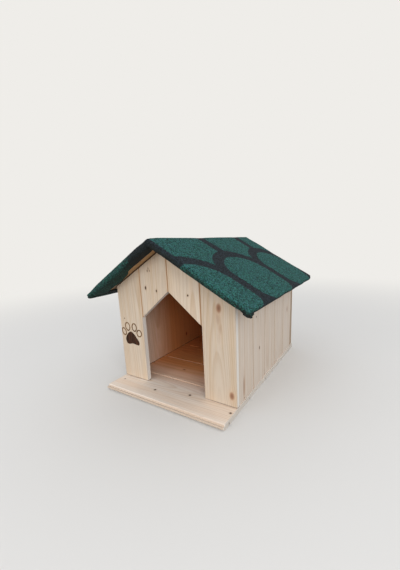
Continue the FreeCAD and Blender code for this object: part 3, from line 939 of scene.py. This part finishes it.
# Tones of a knot's heart, body and halo, and the radius up to which it is a pin knot
knot_tones = ("#7A4E36", "#A07558", "#C9A583")
pin_tones = ("#22160E", "#4A301F", "#B08A66")
pin_radius = 3.35

# Painted shadow lines where pieces meet: middle along the grain, half width, how dark
foot_shade_line = (floor_top, 1.9, 0.75)  # on the front boards, at the floor
wall_shade_line = (front_face + 7.5, 7.0, 0.85)  # on the deck panels, over the front wall

# Floor boards, whose tongues point forward
floor_tongue = 5.5
kerf_inset = 22.0  # middle of the saw kerf, from the tongue's foot

# Knots on the faces the photograph shows: across, along, radius, stretch along the grain, how dark.
# On the sides and the floor the first is measured from the front wall's face.
wall_knots = {
    "front_board_1": [(-182.0, 206.7, 1.4, 1.2, 0.7)],
    "front_board_2": [
        (-81.0, 308.0, 3.3, 1.7, 0.95),
        (-41.0, 301.5, 2.4, 1.8, 0.9),
        (-69.0, 356.5, 2.6, 1.5, 0.6),
        (-61.5, 357.0, 2.2, 1.5, 0.6),
        (-65.5, 363.0, 2.0, 2.0, 0.5),
    ],
    "front_board_3": [(65.0, 296.0, 2.6, 1.2, 0.9)],
    "front_board_4": [
        (155.0, 271.0, 7.4, 1.7, 0.9),
        (152.5, 243.0, 4.5, 3.2, 0.2),
        (157.0, 217.0, 4.2, 3.6, 0.18),
        (153.0, 192.0, 4.0, 3.6, 0.14),
        (185.5, 45.0, 7.0, 1.7, 0.85),
    ],
    "right_board_1": [(42.0, 55.0, 6.0, 5.0, 0.5)],
    "right_board_2": [
        (153.0, 122.0, 2.9, 1.7, 0.95),
        (130.0, 221.0, 2.2, 1.2, 0.8),
    ],
    "right_board_3": [
        (194.0, 172.0, 1.8, 1.8, 0.7),
        (194.5, 163.0, 2.2, 2.0, 0.8),
        (194.0, 155.0, 1.8, 2.0, 0.7),
    ],
    "right_board_5": [(433.0, 172.0, 4.5, 2.4, 0.7)],
    "floor_board_1": [
        (-24.0, -181.0, 2.4, 1.1, 0.8),
        (-29.0, -50.0, 3.2, 1.1, 1.0),
        (-5.0, 57.0, 3.3, 1.1, 1.0),
        (-24.0, 193.0, 3.1, 1.1, 1.0),
    ],
    "floor_board_2": [
        (113.0, -49.0, 3.4, 1.6, 0.7),
        (112.0, -183.0, 2.8, 1.4, 0.8),
    ],
    "left_board_4": [(318.0, 56.0, 5.0, 1.6, 0.9)],
}

# Boards with arched grain: the pith's place across and behind the face, and how it slopes along the board
flames = {"front_board_4": (8.0, 22.0, 0.055), "floor_board_1": (-20.0, 30.0, 0.03)}

# Boards paler or darker than their neighbours
board_gain = {"front_board_3": 1.07, "front_board_4": 0.96}


def dress_boards():
    """Each board gets its own pine, with the grain along its length and the zero of depth on its face."""
    seed = 10
    walls = (
        ("front", 4, "XYZ", front_face, front_tone, pale_edge),
        ("rear", 4, "XYZ", rear_face, front_tone, shaded_edge),
        ("left", 5, "YXZ", left_face, side_tone, shaded_edge),
        ("right", 5, "YXZ", right_face, side_tone, shaded_edge),
        ("floor", 5, "YZX", floor_top, floor_tone, step_edge),
    )
    for wall, count, axes, face, tone, edge in walls:
        names = ["%s_board_%d" % (wall, i + 1) for i in range(count)]
        across = "XYZ".index(axes[0])
        tongue = floor_tongue if wall == "floor" else 0.0
        starts = [box_mm(node)[0][across] + tongue for node in names]
        for i, node in enumerate(names):
            low, high = box_mm(node)
            centre = ((low[across] + high[across]) / 2, face, 0)
            joints = [starts[k] for k in (i, i + 1) if 0 < k < count]
            zero = front_face if axes[0] == "Y" else 0.0
            knots = [(place + zero, *rest) for place, *rest in wall_knots.get(node, ())]
            inner = "face" if wall == "floor" else "back"
            seed += 1
            shade_line = foot_shade_line if wall == "front" else None
            material = pine("pine_" + node, axes, centre, tone, seed, knots, joints, edge, inner,
                            flame=flames.get(node), shade_line=shade_line, kerf=starts[i] + kerf_inset,
                            gain=board_gain.get(node, 1.0))
            if node == "front_board_1":
                carved_board(material)
            else:
                dress(node, material)


def dress_framing():
    """Sawn battens inside, and the two deck panels."""
    battens = {
        "XYZ": ["corner_post_%s_%s" % (y, x) for y in ("front", "rear") for x in ("left", "right")],
        "ZYX": ["lintel_cleat_left", "lintel_cleat_right", "rear_batten"]
        + ["roof_cleat_%s_%s" % (y, x) for y in ("front", "rear") for x in ("left", "right")],
        "ZXY": ["eave_rail_left", "eave_rail_right", "ridge_batten"],
    }
    seed = 60
    for axes, names in battens.items():
        for node in names:
            low, high = box_mm(node)
            centre = [((low + high) / 2)["XYZ".index(axis)] for axis in axes]
            seed += 1
            dress(node, pine("sawn_pine_" + node, axes, centre, rough_tone, seed))
    for side in ("left", "right"):
        seed += 1
        panel = pine("deck_panel_" + side, "XZY", (0, deck_high[2], 0), deck_tone, seed, shade_line=wall_shade_line)
        dress("roof_deck_" + side, panel, soften=False)


# Places of the nails
lintel_nail_places = ((-81.0, 20), (-41.0, 13), (65.0, 8))  # across, and above the lintel cleats' foot
post_nail_place = (18.0, 193.0)  # in from the left, and above the floor
rear_nail_places = np.arange(-125, 126, 50)  # across
toe_insets = (45, 66)  # in from the front and from the rear
toe_height = 6  # above the floor
toe_slope = math.radians(35.0)  # down into the floor


def drive_nails():
    """Nails by the doorway's point, into the left post, behind, and slanting in at the walls' foot."""
    toe_x = right_face - nail_head_radius * math.sin(toe_slope)
    lintel_low = box_mm("lintel_cleat_left")[0][2]
    batten_low, batten_high = box_mm("rear_batten")
    inward, outward = (0, 1, 0), (0, -1, 0)
    lintel = [(x, front_face, lintel_low + lift) for x, lift in lintel_nail_places]
    post = [(left_face + post_nail_place[0], front_face, floor_top + post_nail_place[1])]
    rear = [(x, rear_face, (batten_low[2] + batten_high[2]) / 2) for x in rear_nail_places]
    toe_rows = (front_face + toe_insets[0], rear_face - toe_insets[1])
    toes = [(s * toe_x, y, floor_top + toe_height) for s in (-1, 1) for y in toe_rows]
    toe_headings = [(-math.copysign(math.cos(toe_slope), p[0]), 0, -math.sin(toe_slope)) for p in toes]
    nail_group("lintel_nails", lintel, [inward] * len(lintel))
    nail_group("post_nail", post, [inward])
    nail_group("rear_nails", rear, [outward] * len(rear))
    nail_group("toe_nails", toes, toe_headings)


# Stage, in metres and watts
floor_rings = np.array([0.0, 0.5, 1.0, 2.0, 4.0, 6.0])
floor_turns = 96
floor_level = -0.0002  # clear of the boards
fade_start, fade_end = 0.7, 2.6
pale = linear("#EFEDE9")
floor_colour = linear("#DEDCD8")
floor_bounce = linear("#9A9893")  # what the floor throws back onto the house
sky_colour = linear("#F4F6FA")
sky_strength = 0.94
lamp_aim = (0, 0, 0.2)
lamps = (  # name, place, power, size
    ("key", (2.1, -1.95, 1.1), 33.0, 1.8),
    ("fill", (-0.8, -2.65, 0.3), 24.0, 1.2),
)


def pale_rays(tree):
    """Which rays see the surroundings as plainly pale: the camera's, and those off or through a gloss."""
    rays = add(tree, "LightPath", {}).node.outputs
    either = add(tree, "Math", {0: rays["Is Camera Ray"], 1: rays["Is Glossy Ray"]}, operation="MAXIMUM")
    return add(tree, "Math", {0: either, 1: rays["Is Transmission Ray"]}, operation="MAXIMUM")


def stage():
    """A pale floor that fades into the pale surroundings, soft light all round and two large lamps."""
    angle = np.linspace(0, 2 * math.pi, floor_turns, endpoint=False)[:, None]
    level = np.full((floor_turns, len(floor_rings)), floor_level)
    points = np.stack([-floor_rings * np.sin(angle), floor_rings * np.cos(angle), level], -1) / MM
    floor = placed("floor", grid_mesh("floor", points, ring=True))
    material, tree, shader = new_material("pale_floor", Roughness=0.9, Base_Color=floor_colour)
    place = add(tree, "TexCoord", {}, out=3)
    away = add(tree, "VectorMath", {0: place}, out=1, operation="LENGTH")
    fade = add(tree, "MapRange", {0: away, 1: fade_start, 2: fade_end}, **soft_step)
    seen = pale_rays(tree)
    thrown_back = add(tree, "BsdfDiffuse", {0: floor_bounce})
    near = add(tree, "MixShader", {0: seen, 1: thrown_back, 2: shader.outputs[0]})
    share = add(tree, "Math", {0: fade, 1: seen}, operation="MULTIPLY")
    glow = add(tree, "Emission", {0: pale, 1: 1.0})
    mixed = add(tree, "MixShader", {0: share, 1: near, 2: glow})
    tree.links.new(mixed, tree.nodes["Material Output"].inputs["Surface"])
    floor.data.materials.append(material)

    world = bpy.data.worlds.new("soft_surroundings")
    bpy.context.scene.world = world
    world.use_nodes = True
    tree = world.node_tree
    light = tree.nodes["Background"]
    light.inputs["Color"].default_value = sky_colour
    light.inputs["Strength"].default_value = sky_strength
    shown = add(tree, "Background", {0: pale, 1: 1.0})
    mixed = add(tree, "MixShader", {0: pale_rays(tree), 1: light.outputs[0], 2: shown})
    tree.links.new(mixed, tree.nodes["World Output"].inputs["Surface"])

    for name, place, power, size in lamps:
        lamp = bpy.data.lights.new(name, "AREA")
        lamp.energy = power
        lamp.size = size
        thing = placed(name, lamp)
        thing.location = place
        to_house = Vector([float(v) for v in np.array(lamp_aim) - np.array(place)])
        thing.rotation_euler = to_house.to_track_quat("-Z", "Y").to_euler()


# Camera, worked out from the house's own edges in the photograph; pixels are of a 400 x 570 frame
image_width, image_height = 400, 570
focal_pixels = 272.3
image_middle = (207.8, 299.2)
camera_place = (472.2, -778.65, 429.7)
camera_turn = math.radians(32.05)
camera_drop = math.radians(11.97)
camera_roll = math.radians(-2.34)


def take_camera():
    """The photograph's viewpoint: turned to the house's left, tipped down and rolled a little."""
    right = np.array([math.cos(camera_turn), math.sin(camera_turn), 0])
    level = np.array([-math.sin(camera_turn), math.cos(camera_turn), 0])
    forward = level * math.cos(camera_drop) - np.array([0, 0, math.sin(camera_drop)])
    up = np.cross(right, forward)
    tipped_right = math.cos(camera_roll) * right + math.sin(camera_roll) * up
    tipped_up = math.cos(camera_roll) * up - math.sin(camera_roll) * right
    data = bpy.data.cameras.new("camera")
    data.sensor_fit = "AUTO"
    data.sensor_width = 36.0
    data.lens = focal_pixels * data.sensor_width / image_height
    data.shift_x = (image_width / 2 - image_middle[0]) / image_height
    data.shift_y = (image_middle[1] - image_height / 2) / image_height
    camera = placed("camera", data)
    turn = np.stack([tipped_right, tipped_up, -forward], 1)
    camera.matrix_world = Matrix(turn.tolist()).to_4x4()
    camera.location = [c * MM for c in camera_place]
    bpy.context.scene.camera = camera


shingle_cover(side=-1, seed=100, tucks=(27.0, 45.0, 10.0, 30.0), front_slack=1.0, corner_reach=(-6.0, -2.5),
              pinch=3.0, green_end=335.0, rake=0.0, puff=3.2, eave_skew=(0.0, 0.0), rub_and_shade=(0.3, 0.32, 0.9),
              verge_mix=(70.0, 12.0, 12.0))
shingle_cover(side=1, seed=200, tucks=(30.0, 34.0, 10.0, 16.0), front_slack=0.3, corner_reach=(4.0, -5.5),
              pinch=1.5, green_end=309.0, rake=6.5, puff=0.0, eave_skew=(-1.0, 3.0), rub_and_shade=(-0.5, 1.0, 1.0))
dress_boards()
dress_framing()
drive_nails()
stage()
take_camera()
bpy.context.scene.view_settings.view_transform = "Standard"
